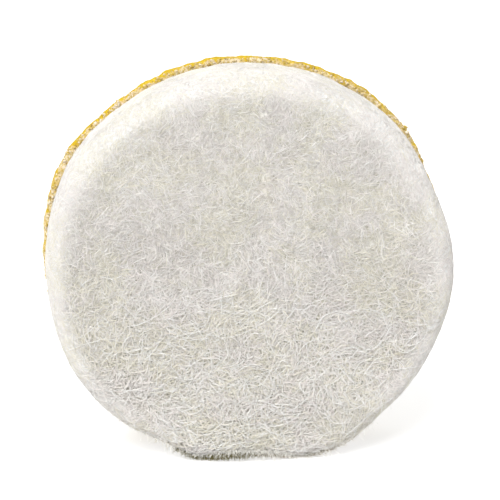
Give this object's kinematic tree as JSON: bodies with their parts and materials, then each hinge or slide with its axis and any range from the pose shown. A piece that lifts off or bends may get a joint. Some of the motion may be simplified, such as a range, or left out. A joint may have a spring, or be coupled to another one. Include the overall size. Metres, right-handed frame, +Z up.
{
  "type": "felt polishing wheel",
  "caption": "Round pressed wool felt wheel on a glued hook-and-loop backing, for polishing stones and metal on a driven pad.",
  "frame": {"origin": "centre of the back face, on the wheel's spin axis, where the loop pile grips a driven pad", "axes": "+Y along the spin axis and out of the back face, -Y out of the felt's working face, +Z up as the wheel stands on its edge"},
  "size_m": [0.0508, 0.0105, 0.0495],
  "materials": {
    "wool_felt": "undyed pressed wool felt, cream white, matte and slightly hairy",
    "contact_adhesive": "cured amber contact adhesive, lumpy and slightly glossy",
    "ground_cloth": "golden knitted nylon tape, matte",
    "nylon_loops": "golden brushed nylon loop pile with a soft sheen"
  },
  "bodies": {
    "root": {"felt_disc": "wool_felt", "adhesive_layer": "contact_adhesive", "backing_cloth": "ground_cloth", "loop_pile": "nylon_loops"}
  },
  "joints": []
}
